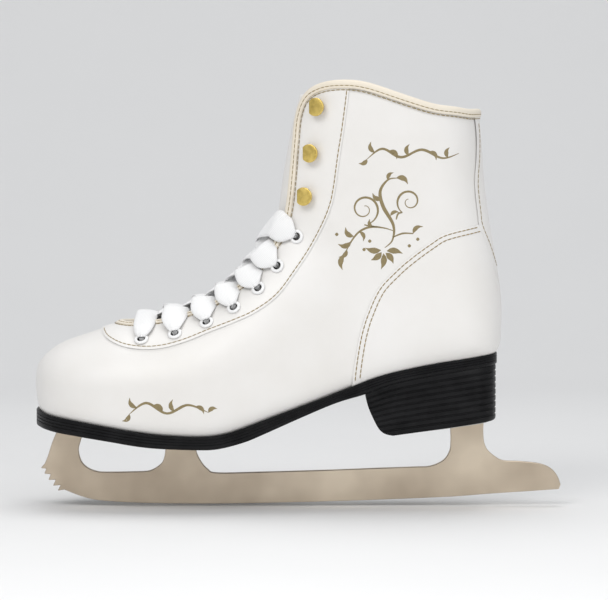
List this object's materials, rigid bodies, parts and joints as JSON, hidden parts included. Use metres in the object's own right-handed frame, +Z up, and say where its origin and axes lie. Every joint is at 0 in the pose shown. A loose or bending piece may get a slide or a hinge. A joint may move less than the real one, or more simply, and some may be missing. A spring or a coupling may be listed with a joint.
{
  "type": "figure skate",
  "caption": "Left lace-up figure skate: white boot with hooks, eyelets and flat lace, stacked heel, and a screwed-on steel blade with toe picks.",
  "frame": {"origin": "on the blade's running edge at the lowest point of its rocker, on the blade's middle plane", "axes": "+X from the toe towards the heel, +Z up, -Y towards the outer side of a left foot"},
  "size_m": [0.2849, 0.0885, 0.2287],
  "materials": {
    "blade_steel": "brushed, warm grey",
    "plate_steel": "satin zinc",
    "black_sole": "glossy black, fine moulded grooves",
    "fibre_board": "pressed fibre board",
    "lining_cloth": "soft cloth",
    "white_leather": "smooth white synthetic leather with gold-brown stitching",
    "tongue_leather": "padded white synthetic leather",
    "cream_tape": "cream rolled edge",
    "foam": "open-cell foam",
    "white_enamel": "white enamel",
    "gold_metal": "satin gold plate",
    "clear_plastic": "clear wrapped film",
    "lace_cloth": "flat woven white lace"
  },
  "bodies": {
    "root": {"aglet_inner": "clear_plastic", "aglet_outer": "clear_plastic", "ankle_padding": "foam", "back_strip": "white_leather", "blade": "blade_steel", "collar_binding": "cream_tape", "counter_overlay": "white_leather", "counter_stiffener": "fibre_board", "eyelet_inner_1": "white_enamel", "eyelet_inner_2": "white_enamel", "eyelet_inner_3": "white_enamel", "eyelet_inner_4": "white_enamel", "eyelet_inner_5": "white_enamel", "eyelet_inner_6": "white_enamel", "eyelet_inner_7": "white_enamel", "eyelet_outer_1": "white_enamel", "eyelet_outer_2": "white_enamel", "eyelet_outer_3": "white_enamel", "eyelet_outer_4": "white_enamel", "eyelet_outer_5": "white_enamel", "eyelet_outer_6": "white_enamel", "eyelet_outer_7": "white_enamel", "eyestay": "white_leather", "heel_block": "black_sole", "heel_plate": "plate_steel", "heel_plate_screw_1": "plate_steel", "heel_plate_screw_2": "plate_steel", "heel_plate_screw_3": "plate_steel", "heel_plate_screw_4": "plate_steel", "hook_inner_1": "gold_metal", "hook_inner_2": "gold_metal", "hook_inner_3": "gold_metal", "hook_outer_1": "gold_metal", "hook_outer_2": "gold_metal", "hook_outer_3": "gold_metal", "insole_board": "fibre_board", "lace": "lace_cloth", "lace_tail_inner": "lace_cloth", "lace_tail_outer": "lace_cloth", "lining": "lining_cloth", "outsole": "black_sole", "sock_insole": "lining_cloth", "steel_shank": "plate_steel", "toe_plate": "plate_steel", "toe_plate_screw_1": "plate_steel", "toe_plate_screw_2": "plate_steel", "toe_plate_screw_3": "plate_steel", "toe_plate_screw_4": "plate_steel", "toe_plate_screw_5": "plate_steel", "toe_plate_screw_6": "plate_steel", "toe_puff": "fibre_board", "tongue_lower": "tongue_leather", "upper_shell": "white_leather"},
    "tongue": {"tongue_upper": "tongue_leather"}
  },
  "joints": [
    {"name": "tongue_fold", "type": "hinge", "parent": "root", "child": "tongue", "pos_m": [0.0534, 0, 0.1501], "axis": [0, 1, 0], "range_deg": [0, 22]}
  ]
}
